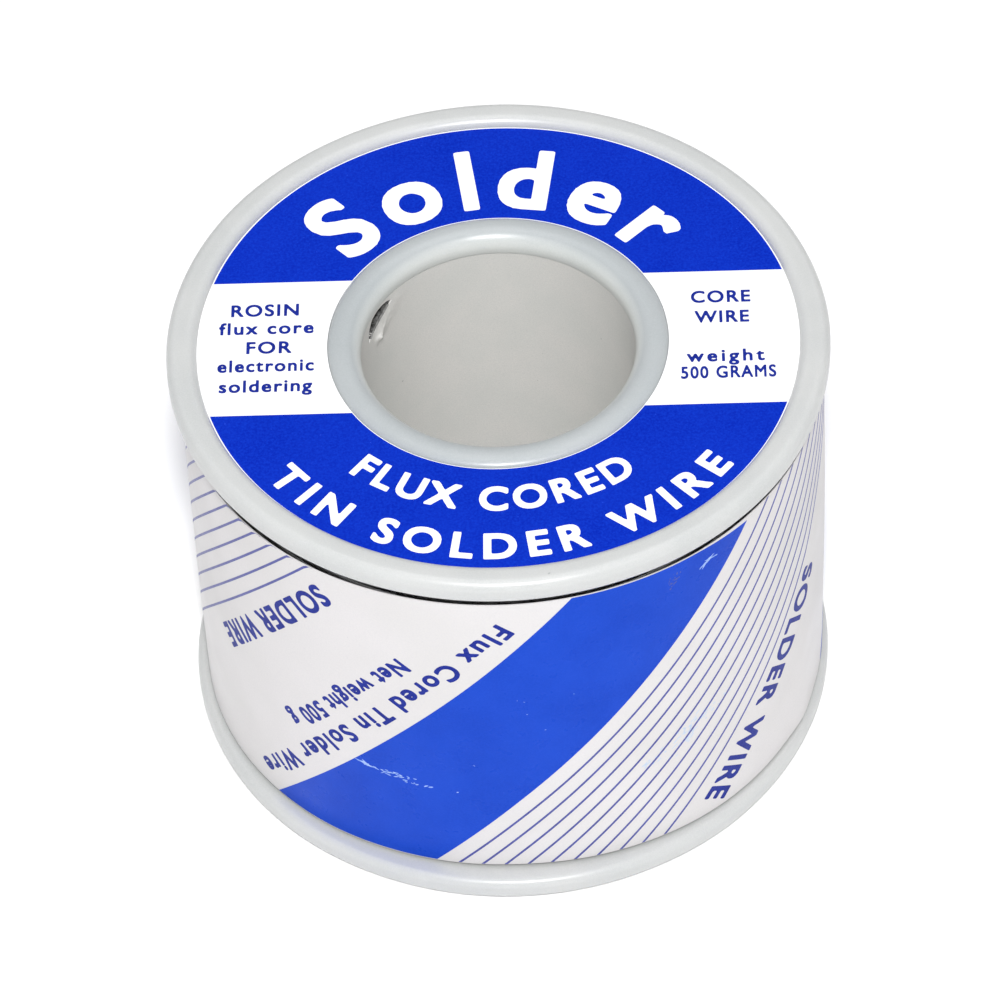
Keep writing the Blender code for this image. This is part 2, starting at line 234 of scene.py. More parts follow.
FILM = surface(
    "clear_film_tape", ((0.86, 0.82, 0.68), (0.90, 0.87, 0.76), (0.78, 0.72, 0.55)), 4.0, (0.3, 0.3),
    (0.10, 0.24), ((0.7, 0.008, (1.0, 1.0, 0.2)),), {"Transmission Weight": 0.75, "IOR": 1.45},
)
GLUE = surface(
    "dried_glue", ((0.74, 0.68, 0.50), (0.80, 0.75, 0.60), (0.62, 0.55, 0.38)), 3.0, (0.4, 0.5),
    (0.30, 0.55), ((0.8, 0.03, (1.0, 1.0, 0.3)),), {"Subsurface Weight": 0.2, "Subsurface Scale": 0.4 * MM},
)
SCUFF = surface(
    "ink_scuff", ((0.07, 0.20, 0.68), (0.30, 0.46, 0.84), (0.55, 0.68, 0.92)), 0.8, (0.3, 0.6),
    (0.4, 0.55), ((0.1, 0.004, EVEN),),
)
BLUE_RUB = surface(
    "blue_rub", ((0.50, 0.60, 0.74), (0.44, 0.55, 0.72), (0.58, 0.64, 0.72)), 0.6, (0.15, 0.6),
    (0.4, 0.55), ((0.1, 0.004, EVEN),),
)
GREY_RUB = surface(
    "grey_rub", ((0.055, 0.075, 0.30), (0.075, 0.09, 0.26), (0.035, 0.07, 0.45)), 0.6, (0.15, 0.6),
    (0.4, 0.55), ((0.1, 0.004, EVEN),),
)


# ---------------------------------------------------------------- meshes

def piece(name, mesh, material, body, stands_for=(), sharp=SHARP):
    """Puts a finished mesh in the scene, smooth but for its sharp edges, riding on a CAD body."""
    mesh.name = name
    mesh.materials.append(material)
    mesh.shade_smooth()
    mesh.set_sharp_from_angle(angle=sharp)
    obj = bpy.data.objects.new(name, mesh)
    bpy.context.scene.collection.objects.link(obj)
    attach(obj, body)
    if stands_for:
        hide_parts(*stands_for)
    return obj


def mesh_of(points, faces):
    mesh = bpy.data.meshes.new("mesh")
    mesh.from_pydata([(x * MM, y * MM, z * MM) for x, y, z in points], [], faces)
    mesh.update()
    return mesh


def closed_mesh(points, faces):
    """A mesh whose faces are all turned to face out."""
    mesh = mesh_of(points, faces)
    shape = bmesh.new()
    shape.from_mesh(mesh)
    bmesh.ops.recalc_face_normals(shape, faces=shape.faces)
    shape.to_mesh(mesh)
    shape.free()
    return mesh


def round_z(radius, angle, height):
    return radius * math.cos(angle), radius * math.sin(angle), height


def arc(centre, radii, first, last, steps):
    turn = (math.radians(first + (last - first) * step / steps) for step in range(steps + 1))
    return [(centre[0] + radii[0] * math.cos(a), centre[1] + radii[1] * math.sin(a)) for a in turn]


def split(points, longest):
    """The outline with more points, so that none of its straight runs is longer than that."""
    result = []
    for first, second in zip(points, points[1:] + points[:1]):
        result.append(first)
        count = math.ceil(math.dist(first, second) / longest)
        for step in range(1, count):
            share = step / count
            result.append(tuple(a + (b - a) * share for a, b in zip(first, second)))
    return result


def even_angles(count):
    return [math.tau * step / count for step in range(count)]


def turned(outline, angles, warp=None):
    """A closed outline (radius, height), running down its outer side, turned right round Z."""
    points = []
    for angle in angles:
        for radius, height in outline:
            if warp:
                radius, height = warp(radius, angle, height)
            points.append(round_z(radius, angle, height))
    rows, faces = len(outline), []
    for i in range(len(angles)):
        near, far = i * rows, (i + 1) % len(angles) * rows
        for j in range(rows):
            k = (j + 1) % rows
            faces.append((near + j, near + k, far + k, far + j))
    return mesh_of(points, faces)


def wobble(angle, seed, size):
    """A gentle unevenness round the axis, the same after a full turn."""
    place = Vector((math.cos(angle), math.sin(angle), 0.0)) / size
    return noise.noise(place + Vector((seed, seed * 0.7, seed * 1.3)))


def flange_outline():
    """The flange's section, its rim's top at height 0 and its collar hanging down."""
    land_r, crest_r, crest, boss_r = 30.6, 15.2, 0.3, 16.7
    socket_r, collar_end = 15.15, COLLAR_END - TOP
    rim = arc((FLANGE_R - 1.0, -1.0), (1.0, 1.0), 90, 0, 10)
    rim += arc((FLANGE_R - 0.8, 0.8 - FLANGE_T), (0.8, 0.8), 0, -90, 8)
    collar = [(COLLAR_R, -FLANGE_T), (COLLAR_R, collar_end), (socket_r, collar_end), (socket_r, -LIP_DEPTH),
              (BORE_R, -LIP_DEPTH)]
    roll = crest_r - BORE_R
    mouth = arc((crest_r, -crest - roll), (roll, roll), 180, 90, 14)
    boss = arc((crest_r, -SEAT_DEPTH), (boss_r - crest_r, SEAT_DEPTH - crest), 90, 0, 10)[1:]
    edge = arc((land_r, -SEAT_DEPTH), (land_r - SEAT_R, SEAT_DEPTH), 180, 90, 8)
    return split(rim + collar + mouth + boss + edge, 1.6)


def rim_warp(seed):
    """Moulding unevenness: a few hundredths of a millimetre, and never past the flange's own size."""
    def warp(radius, angle, height):
        outer = max(0.0, (radius - 29.0) / (FLANGE_R - 29.0))
        radius -= outer * 0.05 * (1.0 + wobble(angle, seed, 0.35)) * (1.0 - abs(math.cos(2 * angle)) ** 8)
        return radius, height + 0.015 * wobble(angle, seed + 3, 0.25) * outer
    return warp


def make_flanges():
    outline = flange_outline()
    upper = [(radius, TOP + height) for radius, height in outline]
    lower = [(radius, -height) for radius, height in reversed(outline)]
    flange = piece(
        "upper_flange_moulding", turned(upper, even_angles(288), rim_warp(4.0)),
        PLASTIC, SPOOL, ["upper_flange"],
    )
    cut(flange, slot_cutter(TUBE_R - 0.6, 17.6, lift=0.15))
    piece(
        "lower_flange_moulding", turned(lower, even_angles(288), rim_warp(9.0)),
        PLASTIC, SPOOL, ["lower_flange"],
    )


# The slot that the wire's inner end comes through: (angle, depth below the top) round its ragged edge
SLOT_EDGE = (
    (139.8, 3.3), (143.0, 2.95), (147.0, 2.80), (151.0, 2.75), (155.5, 2.85), (159.0, 3.5),
    (160.6, 4.4), (160.0, 5.2), (158.6, 4.95), (157.2, 5.35), (155.6, 4.85), (154.0, 5.0),
    (152.2, 4.6), (150.4, 4.75), (148.4, 4.3), (146.0, 4.25), (144.1, 3.85), (142.0, 3.75),
)
# Where the wall is pushed in beside it: a ridge from one (angle, height above the top) to the other
RIDGE = ((137.5, -4.0), (150.5, -6.3))


def slot_cutter(inner, outer, lift=0.0):
    """A closed prism across the tube's wall, in the slot's shape."""
    points, count = [], len(SLOT_EDGE)
    for radius in (inner, outer):
        for angle, depth in SLOT_EDGE:
            points.append(round_z(radius, math.radians(angle), TOP - depth - lift))
    faces = [tuple(range(count)), tuple(range(2 * count - 1, count - 1, -1))]
    for i in range(count):
        k = (i + 1) % count
        faces.append((i, count + i, count + k, k))
    obj = bpy.data.objects.new("slot_cutter", closed_mesh(points, faces))
    bpy.context.scene.collection.objects.link(obj)
    return obj


def cut(obj, cutter):
    boolean = obj.modifiers.new("cut", "BOOLEAN")
    boolean.operation, boolean.solver, boolean.object = "DIFFERENCE", "EXACT", cutter
    graph = bpy.context.evaluated_depsgraph_get()
    mesh = bpy.data.meshes.new_from_object(obj.evaluated_get(graph))
    obj.modifiers.clear()
    obj.data = mesh
    mesh.shade_smooth()
    mesh.set_sharp_from_angle(angle=SHARP)
    bpy.data.objects.remove(cutter, do_unlink=True)


def ridge(angle, height):
    """How far the tube's wall is pushed into the bore beside the slot, where it was punched."""
    per_degree = math.radians(BORE_R)
    spots = (*RIDGE, (math.degrees(angle), height - TOP))
    a, b, at = (Vector((turn * per_degree, rise)) for turn, rise in spots)
    line = b - a
    share = min(1.0, max(0.0, (at - a).dot(line) / line.length_squared))
    away = (at - a - line * share).length
    bump = math.exp(-(away / (1.05 - 0.40 * share ** 3)) ** 2) * (0.07 + 0.10 * share + 0.24 * share ** 6)
    return bump * (1.0 + 0.5 * noise.noise(Vector((at.x * 2.2, at.y * 2.2, 1.7))))


def make_hub():
    """The tube, with a finer mesh near its top and round the slot, where the wall is pushed in."""
    low, high = LIP_DEPTH + 0.03, TOP - LIP_DEPTH - 0.03
    chamfer, fine = 0.3, 7.0
    outline = [(TUBE_R - chamfer, high), (TUBE_R, high - chamfer), (TUBE_R, low + chamfer)]
    outline += [(TUBE_R - chamfer, low), (BORE_R, low)]
    steps = 14
    outline += [(BORE_R, low + (high - fine - low) * step / steps) for step in range(1, steps)]
    steps = 46
    outline += [(BORE_R, high - fine + fine * step / steps) for step in range(steps + 1)]
    degrees = [step * 1.5 for step in range(88)] + [132 + step * 0.5 for step in range(64)]
    degrees += [164 + step * 1.5 for step in range(131)]

    def warp(radius, angle, height):
        if radius < BORE_R + 0.2:
            if height > high - fine:
                radius -= ridge(angle, height)
            if low + 0.5 < height < high - 0.5:
                radius += 0.02 * wobble(angle, 2.0, 0.5)
        return radius, height

    tube = piece(
        "hub_tube_moulding", turned(outline, [math.radians(d) for d in degrees], warp),
        BORE_PLASTIC, SPOOL, ["hub_tube"],
    )
    cut(tube, slot_cutter(BORE_R - 1.0, TUBE_R + 1.0))


def make_slot_inside():
    """A near-black cup of painted shade that lines the slot, from just behind its mouth back to the winding.
    """
    count = len(SLOT_EDGE)
    middle = [sum(spot[axis] for spot in SLOT_EDGE) / count for axis in (0, 1)]
    mouth_r, back_r, outside, inside = BORE_R + 0.10, 17.45, 0.99, 0.93
    points, faces = [], []
    for radius, size in ((mouth_r, outside), (back_r, outside), (back_r - 0.10, inside), (mouth_r, inside)):
        for angle, depth in SLOT_EDGE:
            angle, depth = (at + (spot - at) * size for at, spot in zip(middle, (angle, depth)))
            points.append(round_z(radius, math.radians(angle), TOP - depth))
    for ring, after in ((0, 1), (2, 3), (3, 0)):
        for i in range(count):
            k = (i + 1) % count
            faces.append((ring * count + i, ring * count + k, after * count + k, after * count + i))
    faces += [tuple(range(count, 2 * count)), tuple(range(2 * count, 3 * count))]
    piece("slot_inside", closed_mesh(points, faces), SLOT_SHADE, SPOOL, ())


def make_burr():
    """The ragged flash along the slot's lower edge, in a dark grey that is painted shade for the slot's
    mouth.
    """
    points, faces = [], []
    edge = ((159.4, 5.05), (158.0, 5.15), (156.4, 5.1), (154.8, 4.9), (153.1, 4.8), (151.3, 4.65),
            (149.4, 4.5), (147.4, 4.25), (145.4, 4.05), (143.4, 3.8), (141.4, 3.65))
    for number, (angle, depth) in enumerate(edge):
        jag = 0.5 + 0.5 * noise.noise(Vector((number * 1.37, 4.1, 0.0)))
        tip = 0.10 + 1.7 * jag * math.sin(math.pi * (number + 0.6) / (len(edge) + 0.2))
        into = ridge(math.radians(angle), TOP - depth - 0.22)
        spots = ((BORE_R + 0.25, depth + 0.25), (BORE_R - into - 0.02, depth + 0.22),
                 (BORE_R - into * 0.6 + 0.02, depth - tip * 0.6), (BORE_R + 0.20, depth - 0.02))
        points += [round_z(radius, math.radians(angle), TOP - d) for radius, d in spots]
    for i in range(len(edge) - 1):
        for j in range(4):
            k = (j + 1) % 4
            faces.append((4 * i + j, 4 * i + k, 4 * i + 4 + k, 4 * i + 4 + j))
    last = 4 * (len(edge) - 1)
    faces += [(3, 2, 1, 0), (last, last + 1, last + 2, last + 3)]
    burr = piece("slot_burr", closed_mesh(points, faces), BURR_SHADE, SPOOL, ())
    soften = burr.modifiers.new("soften", "SUBSURF")
    soften.levels = soften.render_levels = 2


# ---------------------------------------------------------------- wire

def frames_along(path):
    """For each point of the path, two directions square to it that don't twist."""
    places = [Vector(point) for point in path]
    result, side = [], None
    for i, place in enumerate(places):
        ahead = (places[min(i + 1, len(places) - 1)] - places[max(i - 1, 0)]).normalized()
        if side is None:
            side = ahead.orthogonal().normalized()
        side = (side - ahead * side.dot(ahead)).normalized()
        result.append((place, side, ahead.cross(side)))
    return result


def tube_rings(path, radius, sides, ragged=0.0):
    points = []
    for number, (place, side, up) in enumerate(frames_along(path)):
        for k in range(sides):
            angle = math.tau * k / sides
            reach_out = radius * (1.0 + ragged * noise.noise(Vector((number * 0.31, k * 0.8, radius))))
            points.append(place + (side * math.cos(angle) + up * math.sin(angle)) * reach_out)
    return points


def tube_mesh(path, radius, sides, hole=0.0, ragged=0.0):
    """A wire along a path. With a hole, it is a tube whose ends are rings; without, it is capped."""
    points = tube_rings(path, radius, sides, ragged)
    count, faces = len(path), []

    def wall(start, inside):
        for i in range(count - 1):
            for k in range(sides):
                n = (k + 1) % sides
                face = (start + i * sides + k, start + i * sides + n, start + (i + 1) * sides + n,
                        start + (i + 1) * sides + k)
                faces.append(face[::-1] if inside else face)

    wall(0, False)
    end = (count - 1) * sides
    if hole:
        start = len(points)
        points += tube_rings(path, hole, sides)
        wall(start, True)
        for k in range(sides):
            n = (k + 1) % sides
            faces.append((start + k, start + n, n, k))
            faces.append((end + k, end + n, start + end + n, start + end + k))
    else:
        faces.append(tuple(reversed(range(sides))))
        faces.append(tuple(end + k for k in range(sides)))
    return mesh_of(points, faces)


def make_winding():
    past_collar, round_collar = TOP - COLLAR_END + 0.3, COLLAR_R + 0.3
    inner = WIND_R - 1.25 * WIRE_R
    outline = [
        (inner, WIND_HIGH), (inner, WIND_LOW), (round_collar, WIND_LOW), (round_collar, past_collar),
        (WIND_IN, past_collar), (WIND_IN, TOP - past_collar), (round_collar, TOP - past_collar),
        (round_collar, WIND_HIGH),
    ]
    piece(
        "solder_inner_layers", turned(split(outline, 4.0), even_angles(120)),
        SOLDER, SPOOL, (),
    )
    pitch, per_turn = 2.02 * WIRE_R, 84
    turns = (WIND_HIGH - WIND_LOW - 2.2 * WIRE_R) / pitch
    path = []
    for step in range(int(turns * per_turn) + 1):
        angle = math.tau * step / per_turn
        drift = 0.04 * noise.noise(Vector((math.cos(angle) * 2, math.sin(angle) * 2, step * 0.004)))
        height = WIND_LOW + 1.1 * WIRE_R + pitch * step / per_turn
        path.append(round_z(WIND_R - WIRE_R - 0.05 + drift, angle, height))
    piece(
        "solder_outer_layer", tube_mesh(path, WIRE_R, 8), SOLDER, SPOOL,
        ["solder_winding"], math.radians(60),
    )


def cut_end(name, path, radius, wire_node, core_node):
    """An end of the wire, with the thread of flux inside it a little shorter."""
    wire = tube_mesh(path, radius, 20, WIRE_R * 0.42, 0.02)
    piece(name, wire, SOLDER, SPOOL, [wire_node])
    core = tube_mesh(path[1:-1], WIRE_R * 0.36, 14, 0.0, 0.05)
    piece(name + "_flux", core, FLUX, SPOOL, [core_node])


def make_wire_ends():
    route = []
    spots = ((16.3, 152.0, 3.95), (15.8, 151.8, 3.92), (15.4, 151.6, 3.92), (15.0, 151.4, 3.95),
             (14.7, 151.2, 4.0), (14.4, 151.0, 4.08), (14.2, 150.8, 4.18))
    for radius, angle, depth in spots:
        route.append(round_z(radius, math.radians(angle), TOP - depth))
    cut_end("wire_start", smoothed(route, 3), 0.97 * WIRE_R, "wire_start_tail", "flux_core_start")
    centre_r, height = WIND_R + WIRE_R + 0.1, (WIRE_END_LOW + WIRE_END_HIGH) / 2
    first, turn, steps = 205, 57, 72
    path = []
    for step in range(steps + 1):
        angle = math.radians(first + turn * step / steps)
        path.append(round_z(centre_r, angle, height + 0.25 * math.sin(step * 0.06)))
    cut_end("wire_finish", path, 0.98 * WIRE_R, "wire_outer_end", "flux_core_end")


def smoothed(path, times):
    """Corner cutting, with the ends kept."""
    points = [Vector(point) for point in path]
    for _ in range(times):
        new = [points[0]]
        for a, b in zip(points, points[1:]):
            new += [a.lerp(b, 0.25), a.lerp(b, 0.75)]
        points = new + [points[-1]]
    return points


def make_tape():
    """A strip of film over the wire's outer end, humped where the wire passes under it."""
    height = (TAPE_LOW + TAPE_HIGH) / 2
    half = (TAPE_HIGH - TAPE_LOW) / 2
    first, turn, hump_half = 243, 13, 1.15

    def at(u, v, h):
        hump = math.exp(-((v * half) / hump_half) ** 4)
        radius = WIND_R + 0.12 + (2 * WIRE_R + 0.14) * hump + h
        ragged = 0.25 * noise.noise(Vector((v * 5.0, 2.0 * round(u), 0.3))) if u in (0.0, 1.0) else 0.0
        angle = math.radians(first + turn * u + ragged)
        return round_z(radius, angle, height + v * half)

    grid = [[(i / 20, -1 + 2 * j / 30) for j in range(31)] for i in range(21)]
    piece("tape_strip", sheet_mesh(grid, at, 0.0, 0.07), FILM, SPOOL, ["end_tape"])


def sheet_mesh(grid, at, low, high):
    """A closed thin sheet from a grid of (u, v), each put in place by at(u, v, h) at two offsets h."""
    rows, columns = len(grid), len(grid[0])
    points = [at(u, v, h) for h in (high, low) for row in grid for u, v in row]
    below, faces = rows * columns, []
    for i in range(rows - 1):
        for j in range(columns - 1):
            a, b = i * columns + j, (i + 1) * columns + j
            c, d = b + 1, a + 1
            faces += [(a, b, c, d), (d + below, c + below, b + below, a + below)]
    rim = list(range(columns)) + [i * columns + columns - 1 for i in range(1, rows)]
    rim += [(rows - 1) * columns + j for j in range(columns - 2, -1, -1)]
    rim += [i * columns for i in range(rows - 2, 0, -1)]
    for a, b in zip(rim, rim[1:] + rim[:1]):
        faces.append((a, b, b + below, a + below))
    return closed_mesh(points, faces)


# ---------------------------------------------------------------- flat shapes and lettering

GLYPHS = {}


def text_mesh(body):
    """The flat mesh of a text whose nominal size is 1."""
    curve = bpy.data.curves.new("letters", "FONT")
    curve.body, curve.size, curve.resolution_u = body, 1.0, 6
    obj = bpy.data.objects.new("letters", curve)
    bpy.context.scene.collection.objects.link(obj)
    graph = bpy.context.evaluated_depsgraph_get()
    mesh = bpy.data.meshes.new_from_object(obj.evaluated_get(graph))
    bpy.data.objects.remove(obj, do_unlink=True)
    bpy.data.curves.remove(curve)
    return mesh


def outline_of(letter):
    """The edges round a letter's flat mesh, as an array of (start, end) points."""
    mesh = text_mesh(letter)
    shape = bmesh.new()
    shape.from_mesh(mesh)
    bmesh.ops.remove_doubles(shape, verts=shape.verts, dist=0.0002)
    edges = [[vertex.co[:2] for vertex in edge.verts] for edge in shape.edges if len(edge.link_faces) == 1]
    shape.free()
    bpy.data.meshes.remove(mesh)
    return np.array(edges, float)


def depth_inside(edges, spots):
    """How far each spot is inside the outline, negative outside it."""
    start, line = edges[:, 0], edges[:, 1] - edges[:, 0]
    away = spots[:, None, :] - start[None]
    share = np.clip((away * line).sum(2) / (line ** 2).sum(1), 0, 1)
    nearest = ((away - share[..., None] * line) ** 4).sum(2).min(1) ** 0.25
    low, high = np.minimum(edges[:, 0, 1], edges[:, 1, 1]), np.maximum(edges[:, 0, 1], edges[:, 1, 1])
    spans = (spots[:, None, 1] >= low) & (spots[:, None, 1] < high)
    rise = np.where(line[:, 1] == 0, 1.0, line[:, 1])
    cross = start[:, 0] + (spots[:, None, 1] - start[:, 1]) / rise * line[:, 0]
    inside = (spans & (cross > spots[:, None, 0])).sum(1) % 2 == 1
    return np.where(inside, nearest, -nearest)


def grown_letter(letter, grow, cell):
    """A letter's flat shape with its strokes thickened all round by grow, as a grid of cells whose
    border cells are cut along the new outline."""
    edges = outline_of(letter)
    low = edges.reshape(-1, 2).min(0) - grow - 1.6 * cell
    high = edges.reshape(-1, 2).max(0) + grow + 1.6 * cell
    columns, rows = (int(math.ceil(span / cell)) for span in high - low)
    xs, ys = low[0] + cell * np.arange(columns + 1), low[1] + cell * np.arange(rows + 1)
    spots = np.stack(np.meshgrid(xs, ys, indexing="ij"), -1).reshape(-1, 2)
    value = depth_inside(edges, spots).reshape(columns + 1, rows + 1) + grow
    value = np.where(np.abs(value) < 0.06 * cell, 0.06 * cell, value)
    points, faces, known = [], [], {}

    def corner(i, j):
        if (i, j) not in known:
            known[(i, j)] = len(points)
            points.append((xs[i], ys[j]))
        return known[(i, j)]

    def crossing(i, j, k, m):
        key = tuple(sorted(((i, j), (k, m))))
        if key not in known:
            (i, j), (k, m) = key
            share = value[i, j] / (value[i, j] - value[k, m])
            known[key] = len(points)
            points.append((xs[i] + (xs[k] - xs[i]) * share, ys[j] + (ys[m] - ys[j]) * share))
        return known[key]

    for i in range(columns):
        for j in range(rows):
            ring = ((i, j), (i + 1, j), (i + 1, j + 1), (i, j + 1))
            face = []
            for here, after in zip(ring, ring[1:] + ring[:1]):
                if value[here] > 0:
                    face.append(corner(*here))
                if (value[here] > 0) != (value[after] > 0):
                    face.append(crossing(*here, *after))
            if len(face) > 2:
                faces.append(tuple(face))
    return points, faces


def advance_of(letter):
    right = []
    for body in ("|", letter + "|"):
        mesh = text_mesh(body)
        right.append(max(vertex.co.x for vertex in mesh.vertices))
        bpy.data.meshes.remove(mesh)
    return right[1] - right[0]


def glyph(letter, grow, cell):
    """A letter's points and faces, and how far it moves the next letter on."""
    key = (letter, grow, cell)
    if key not in GLYPHS:
        points, faces = ([], []) if letter == " " else grown_letter(letter, grow, cell)
        GLYPHS[key] = (points, faces, advance_of(letter) + 2 * grow)
    return GLYPHS[key]


def cap_height(grow):
    return max(y for edge in outline_of("H") for _, y in edge) + grow


class Flat:
    """Flat polygons in a plane, gathered to become one thin printed layer."""

    def __init__(self):
        self.points, self.faces = [], []

    def add(self, points, faces):
        start = len(self.points)
        self.points += points
        self.faces += [tuple(start + index for index in face) for face in faces]

    def polygon(self, points):
        self.add(list(points), [tuple(range(len(points)))])

    def line_of_text(self, text, cap, width, put, grow=0.03, cell=0.045):
        """Letters along a line of that width. put(x) gives the (x, y, tilt) of the point x along it."""
        scale = cap / cap_height(grow)
        advances = [glyph(letter, grow, cell)[2] * scale for letter in text]
        gaps = len(text) - 1
        spare = (width - sum(advances)) / max(1, gaps)
        narrow, least, most = 1.0, 0.03 * cap, 0.22 * cap
        if not least <= spare <= most:
            spare = min(most, max(least, spare))
            narrow = (width - spare * gaps) / sum(advances)
        along = 0.0
        for letter, advance in zip(text, advances):
            points, faces, _ = glyph(letter, grow, cell)
            x0, y0, tilt = put(along + advance * narrow / 2)
            c, s = math.cos(tilt), math.sin(tilt)
            placed = []
            for x, y in points:
                px, py = (x + grow) * scale * narrow - advance * narrow / 2, y * scale
                placed.append((x0 + px * c - py * s, y0 + px * s + py * c))
            self.add(placed, faces)
            along += advance * narrow + spare

    def shape(self):
        shape = bmesh.new()
        corners = [shape.verts.new((x, y, 0.0)) for x, y in self.points]
        for face in self.faces:
            shape.faces.new([corners[index] for index in face])
        bmesh.ops.remove_doubles(shape, verts=shape.verts, dist=0.00001)
        for face in shape.faces:
            face.normal_update()
        bmesh.ops.reverse_faces(shape, faces=[face for face in shape.faces if face.normal.z < 0])
        return shape


def trim(shape, points_out):
    """Cuts away what lies past each line, given as (a point of it, the direction past it)."""
    for place, past in points_out:
        everything = [*shape.verts, *shape.edges, *shape.faces]
        bmesh.ops.bisect_plane(
            shape, geom=everything, dist=0.00001, plane_co=(*place, 0), plane_no=(*past, 0), clear_outer=True
        )


def slice_up(shape, columns, rows):
    """Cuts the faces along lines of equal x and of equal y, so that they can follow a curve."""
    for axis, lines in ((0, columns), (1, rows)):
        low = min(vertex.co[axis] for vertex in shape.verts)
        high = max(vertex.co[axis] for vertex in shape.verts)
        for line in lines:
            if low < line < high:
                place, past = [0.0, 0.0, 0.0], [0.0, 0.0, 0.0]
                place[axis], past[axis] = line, 1.0
                everything = [*shape.verts, *shape.edges, *shape.faces]
                bmesh.ops.bisect_plane(shape, geom=everything, dist=0.00001, plane_co=place, plane_no=past)


def printed(shape, at, low, high):
    """A closed thin layer from a flat shape: its two sides are put in place by at(x, y, h)."""
    shape.verts.index_update()
    flat = [(vertex.co.x, vertex.co.y) for vertex in shape.verts]
    points = [at(x, y, high) for x, y in flat] + [at(x, y, low) for x, y in flat]
    below, faces = len(flat), []
    for face in shape.faces:
        corners = [vertex.index for vertex in face.verts]
        faces += [tuple(corners), tuple(corner + below for corner in reversed(corners))]
    for edge in shape.edges:
        if len(edge.link_faces) == 1:
            loop = edge.link_loops[0]
            a, b = loop.vert.index, loop.link_loop_next.vert.index
            faces.append((b, a, a + below, b + below))
    shape.free()
    return mesh_of(points, faces)


# ---------------------------------------------------------------- face labels

def on_circle(radius, start, clockwise):
    """put() for letters round a circle: tops outwards clockwise, or tops inwards the other way."""
    def put(x):
        turn = x / radius
        angle = math.radians(start) - turn if clockwise else math.radians(start) + turn
        tilt = angle - math.pi / 2 if clockwise else angle + math.pi / 2
        return radius * math.cos(angle), radius * math.sin(angle), tilt
    return put


def on_row(x0, y0):
    """put() for letters along a straight row."""
    return lambda x: (x0 + x, y0, 0.0)


def ring_grid(inner, outer, rings, angles_at, closed=False):
    """A flat grid between two radii. angles_at(radius) gives the same number of angles at each."""
    flat, grid, faces = Flat(), [], []
    for i in range(rings + 1):
        radius = inner + (outer - inner) * i / rings
        angles = angles_at(radius)
        grid += [(radius * math.cos(angle), radius * math.sin(angle)) for angle in angles]
    count = len(angles)
    for i in range(rings):
        for j in range(count if closed else count - 1):
            a, b = i * count + j, i * count + (j + 1) % count
            faces.append((a, a + count, b + count, b))
    flat.add(grid, faces)
    return flat


def past_line(edge, side, columns=150):
    """angles_at() for the part of a ring past a straight line, on its +Y (1) or -Y (-1) side."""
    def angles_at(radius):
        first = math.asin(edge / radius)
        return [side * (first + (math.pi - 2 * first) * j / columns) for j in range(columns + 1)]
    return angles_at


def make_label(side, face, turn):
    """A ring of printed paper. The lower one is the upper one turned over."""
    up = 1.0 if side == "top" else -1.0
    c, s = math.cos(turn), math.sin(turn)

    def at(x, y, h):
        x, y = x * c - y * s, x * s + y * c
        cockle = 0.012 * noise.noise(Vector((x * 0.11, y * 0.11, up)))
        return x, y * up, face + up * (h + cockle)

    def layer(name, flat, low, high, material, stands_for=()):
        piece(side + name, printed(flat.shape(), at, low, high), material, SPOOL, stands_for)

    inner, outer = LABEL_HOLE_R - 0.23, LABEL_R + 0.34
    paper = ring_grid(inner, outer, 14, lambda radius: even_angles(256), True)
    layer("_label_paper", paper, -0.10, 0.0, LABEL_PAPER, [side + "_label"])
    inner, outer = LABEL_HOLE_R - 0.15, LABEL_R + 0.19
    blue = ring_grid(inner, outer, 10, past_line(8.7, 1))
    second = ring_grid(inner, outer, 10, past_line(9.0, -1))
    blue.add(second.points, second.faces)
    layer("_label_blue", blue, -0.01, 0.012, LABEL_BLUE)
    white = Flat()
    for text, cap, radius, start, sweep, clockwise, bold, cell in (
        ("Solder", 8.0, 18.4, 143.0, 106, True, 0.028, 0.018),
        ("FLUX CORED", 2.95, 22.0, -131.5, 79, False, 0.034, 0.035),
        ("TIN SOLDER WIRE", 3.1, 28.1, -142.5, 106, False, 0.034, 0.035),
    ):
        width = radius * math.radians(sweep)
        white.line_of_text(text, cap, width, on_circle(radius, start, clockwise), bold, cell)
    layer("_label_white_letters", white, 0.004, 0.026, LABEL_PAPER)
    small = Flat()
    for text, centre, base, width in (
        ("ROSIN", -22.9, 4.2, 7.0), ("flux core", -22.7, 1.8, 9.4), ("FOR", -22.5, -0.8, 4.6),
        ("electronic", -22.7, -3.2, 9.6), ("soldering", -22.7, -5.9, 9.2), ("CORE", 21.9, 4.5, 6.0),
        ("WIRE", 22.0, 1.8, 5.4), ("weight", 22.2, -3.4, 7.6), ("500 GRAMS", 22.4, -5.6, 9.4),
    ):
        small.line_of_text(text, 1.55, width, on_row(centre - width / 2, base), 0.024, 0.05)
    layer("_label_blue_letters", small, -0.01, 0.014, LETTER_INK)


# ---------------------------------------------------------------- wrap

# A place on the wrap is (s, height), where s is millimetres round from the front, at this radius
PRINT_R = 31.0
SEAM_S = PRINT_R * math.radians(178)
OVERLAP = 6.0
SHEET_START, SHEET_STOP = SEAM_S - PRINT_R * math.tau - OVERLAP, SEAM_S + OVERLAP
COLUMN, ROW = 0.7, 1.4
HEAD = TOP - 4.10  # the paper's upper edge in front, which leaves a line of winding in view
FOOT_R = 30.45  # the paper's radius at its foot in front
SIDE_SWELL = 1.15  # how much fuller it is there at the sides
SLANT = math.radians(50.5)  # the print's lines, from level


def ease(value):
    value = min(1.0, max(0.0, value))
    return value * value * (3 - 2 * value)


def wrap_top(s):
    """The height of the paper's upper edge, which sinks at the left of the front."""
    left = ease((-s - 4) / 30) * ease((s + 78) / 34)
    return HEAD - 0.95 * left + 0.10 * ease((s + 6) / 14) * ease((60 - s) / 30) + 0.03 * math.sin(s * 0.21)


